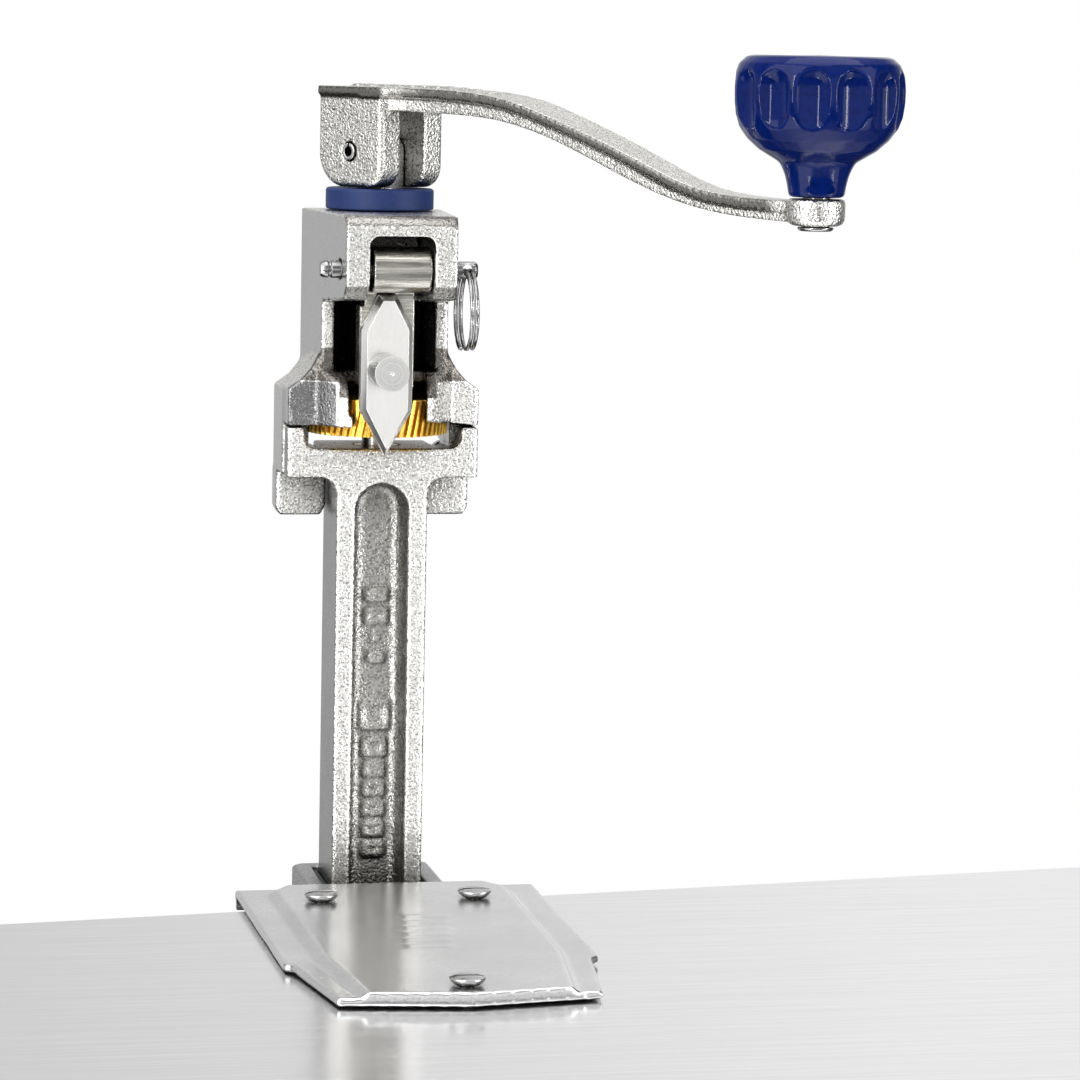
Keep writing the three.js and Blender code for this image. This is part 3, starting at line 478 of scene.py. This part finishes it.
def roundCast(name, voxel, passes):  # a skin of small faces, smoothed as a casting's edges are
    node = nodes[name]
    weld(node)
    remesh = node.modifiers.new("skin", "REMESH")
    remesh.mode = "VOXEL"
    remesh.voxel_size = voxel * mm
    remesh.use_smooth_shade = True
    smooth = node.modifiers.new("soften", "SMOOTH")
    smooth.factor = 0.5
    smooth.iterations = passes


def roundEdges(name, width):
    node = nodes[name]
    weld(node)
    bevel = node.modifiers.new("round", "BEVEL")
    bevel.width = width * mm
    bevel.segments = 2
    bevel.limit_method = "ANGLE"
    bevel.angle_limit = math.radians(32)  # flatter edges belong to round faces
    bevel.harden_normals = True
    node.data.polygons.foreach_set("use_smooth", [True] * len(node.data.polygons))
    node.modifiers.new("shade", "WEIGHTED_NORMAL").keep_sharp = True


castParts = {  # voxel size in mm and smoothing passes
    "head_casting": (0.55, 4), "bar": (0.7, 2), "crank_handle": (0.5, 2), "knife_holder": (0.4, 4),
    "base_plate": (0.7, 2), "bar_socket": (0.7, 3),
}
edgeParts = {  # width of the rounded edge, mm
    "knife": 0.15, "knife_stud": 0.35, "thrust_washer": 0.2, "drive_gear": 0.08, "quick_release_pin": 0.12,
    "arbor_shaft": 0.2, "handle_pin": 0.12, "knob_spindle": 0.2, "head_screw_1": 0.2, "head_screw_2": 0.2,
    "base_screw_1": 0.15, "base_screw_2": 0.15, "base_screw_3": 0.15, "socket_bolt_1": 0.2,
    "socket_bolt_2": 0.2, "upper_bushing": 0.2, "foot_bushing": 0.2, "knob_cap": 0.2, "gear_key": 0.1,
    "front_pad": 0.2, "socket_liner": 0.15,
}
for name, (voxel, passes) in castParts.items():
    roundCast(name, voxel * (1), passes)
for name, width in edgeParts.items():
    roundEdges(name, width)
roundCast("knob", 0.5, 3)
weld(nodes["pull_ring"])
nodes["pull_ring"].modifiers.new("round", "SUBSURF").levels = 1
print("edges rounded")


tableTop = {  # m, the edge runs askew behind the socket
    "left": -1.2, "right": 1.2, "front": -0.32, "leftEdge": originY * mm - 0.1835,
    "rightEdge": originY * mm + 0.1365, "top": -0.0005, "under": -0.03,
    "look": dict(machinedLook, stretch=(0.012, 1.0, 1.0), lines=1500.0, dark=paint(0.86, 0.86, 0.87),
                 light=paint(0.97, 0.97, 0.98), rough=0.11, roughSpread=0.05, wear=0.0, hollowShadeStrength=0.0, dust=0.0,
                 stain=0.05, bump=0.04),
}


def buildTable():
    mesh = bpy.data.meshes.new("table_top")
    build = bmesh.new()
    corners = [(tableTop["left"], tableTop["leftEdge"]), (tableTop["right"], tableTop["rightEdge"]),
               (tableTop["right"], tableTop["front"]), (tableTop["left"], tableTop["front"])]
    verts = [build.verts.new((x, y, z)) for z in (tableTop["top"], tableTop["under"]) for x, y in corners]
    build.faces.new(verts[:4][::-1])
    build.faces.new(verts[4:])
    for i in range(4):
        j = (i + 1) % 4
        build.faces.new((verts[i], verts[j], verts[4 + j], verts[4 + i]))
    bmesh.ops.recalc_face_normals(build, faces=build.faces)
    build.to_mesh(mesh)
    build.free()
    table = bpy.data.objects.new("table_top", mesh)
    bpy.context.collection.objects.link(table)
    mesh.materials.append(makeMaterial("table_steel", tableTop["look"]))


lamps = {  # place, aim and size in m, power in W
    "key_left": {"place": (-1.2, -0.6, 0.9), "aim": (0, 0.05, 0.1), "size": (1.4, 1.4), "power": 16.0},
    "fill_right": {"place": (1.4, -0.9, 0.7), "aim": (0, 0.05, 0.1), "size": (1.0, 1.4), "power": 9.0},
    "top_soft": {"place": (0.1, -0.1, 1.6), "aim": (0, 0.05, 0.1), "size": (1.6, 1.4), "power": 14.0},
    "strip_left": {"place": (-0.75, -0.85, 0.35), "aim": (0.05, 0, 0.15), "size": (0.07, 0.7), "power": 4.0},
    "strip_right": {"place": (0.95, -0.75, 0.35), "aim": (0.05, 0, 0.15), "size": (0.07, 0.7), "power": 4.0},
}


def addLamp(name, place, aim, size, power):
    lamp = bpy.data.lights.new(name, "AREA")
    lamp.shape = "RECTANGLE"
    lamp.size, lamp.size_y = size
    lamp.energy = power
    holder = bpy.data.objects.new(name, lamp)
    holder.location = place
    holder.rotation_euler = (Vector(aim) - Vector(place)).to_track_quat("-Z", "Y").to_euler()
    bpy.context.collection.objects.link(holder)


sky = {
    "low": 0.03, "high": 1.0,  # greys straight down and straight up
    "stops": [(0.28, 0.05), (0.37, 0.18), (0.43, 0.95), (0.55, 1.0), (0.62, 0.9), (0.68, 0.35), (0.78, 0.3),
              (0.9, 0.9)],  # height from 0 at the bottom to 1 at the top, and grey
    "right": (0.45, 0.8, 1.0, 0.25), "left": (-0.5, -0.85, 1.0, 0.62),  # from, to, and strengths there
    "behind": (0.02, 0.3, 0.62, 0.88),  # the wall that the table mirrors: from, to, and greys there
    "wallStart": (0.5, 0.8), "wallFoot": (-0.4, -0.1),  # how the wall fades in backward and upward
    "seen": 1.0,  # the plain white that shows behind the object
}


def fadeValue(tree, value, fade):
    return addNode(tree, "ShaderNodeMapRange", {
        "Value": value, "From Min": fade[0], "From Max": fade[1], "To Min": fade[2], "To Max": fade[3],
    }).outputs["Result"]


def buildWorld():
    world = bpy.data.worlds.new("studio")
    bpy.context.scene.world = world
    world.use_nodes = True
    tree = world.node_tree
    tree.nodes.clear()
    direction = addNode(tree, "ShaderNodeTexCoord").outputs["Generated"]
    parts = addNode(tree, "ShaderNodeSeparateXYZ", {0: direction}).outputs
    ramp = addNode(tree, "ShaderNodeValToRGB", {0: rampValue(tree, parts["Z"], -1.0, 1.0)})
    stops = ramp.color_ramp.elements
    stops[0].position, stops[0].color = 0.0, paint(*[sky["low"]] * 3)
    stops[1].position, stops[1].color = 1.0, paint(*[sky["high"]] * 3)
    for position, grey in sky["stops"]:
        stops.new(position).color = paint(grey, grey, grey)
    sides = mathNode(tree, "MULTIPLY", fadeValue(tree, parts["X"], sky["right"]),
                     fadeValue(tree, parts["X"], sky["left"]))
    wall = mathNode(tree, "MULTIPLY", rampValue(tree, parts["Y"], *sky["wallStart"]),
                    rampValue(tree, parts["Z"], *sky["wallFoot"]))
    grey = fadeValue(tree, parts["X"], sky["behind"])
    wallColor = addNode(tree, "ShaderNodeCombineColor", {0: grey, 1: grey, 2: grey}).outputs[0]
    mirrored = addNode(tree, "ShaderNodeBackground", {
        "Color": mixColor(tree, wall, ramp.outputs[0], wallColor), "Strength": sides})
    plain = addNode(tree, "ShaderNodeBackground", {"Color": paint(*[sky["seen"]] * 3), "Strength": 1.0})
    cameraRay = addNode(tree, "ShaderNodeLightPath").outputs["Is Camera Ray"]
    mixed = addNode(tree, "ShaderNodeMixShader", {
        0: cameraRay, 1: mirrored.outputs[0], 2: plain.outputs[0]})
    addNode(tree, "ShaderNodeOutputWorld", {0: mixed.outputs[0]})


cameraView = {
    "azimuth": 11.78, "dip": 6.97, "roll": 1.18,  # degrees
    "aim": (0.04477, originY * mm, 0.097), "distance": 1.11787, "nearest": 0.05,  # m
    "lens": 133.3, "sensor": 36.0,  # mm
}


def placeCamera():
    azimuth, dip, roll = [math.radians(cameraView[angle]) for angle in ("azimuth", "dip", "roll")]
    forward = Vector((math.sin(azimuth) * math.cos(dip), math.cos(azimuth) * math.cos(dip), -math.sin(dip)))
    level = Vector((math.cos(azimuth), -math.sin(azimuth), 0.0))
    upright = level.cross(forward)
    right = level * math.cos(roll) + upright * math.sin(roll)
    above = upright * math.cos(roll) - level * math.sin(roll)
    lens = bpy.data.cameras.new("main_view")
    lens.lens = cameraView["lens"]
    lens.sensor_width = cameraView["sensor"]
    lens.clip_start = cameraView["nearest"]
    camera = bpy.data.objects.new("main_view", lens)
    turn = Matrix((right, above, -forward)).transposed().to_4x4()
    place = Vector(cameraView["aim"]) - forward * cameraView["distance"]
    camera.matrix_world = Matrix.Translation(place) @ turn
    bpy.context.collection.objects.link(camera)
    bpy.context.scene.camera = camera


bpy.context.scene.view_settings.view_transform = "Standard"
buildTable()
buildWorld()
placeCamera()
for name, lamp in lamps.items():
    addLamp(name, **lamp)
print("stage, light and camera set")
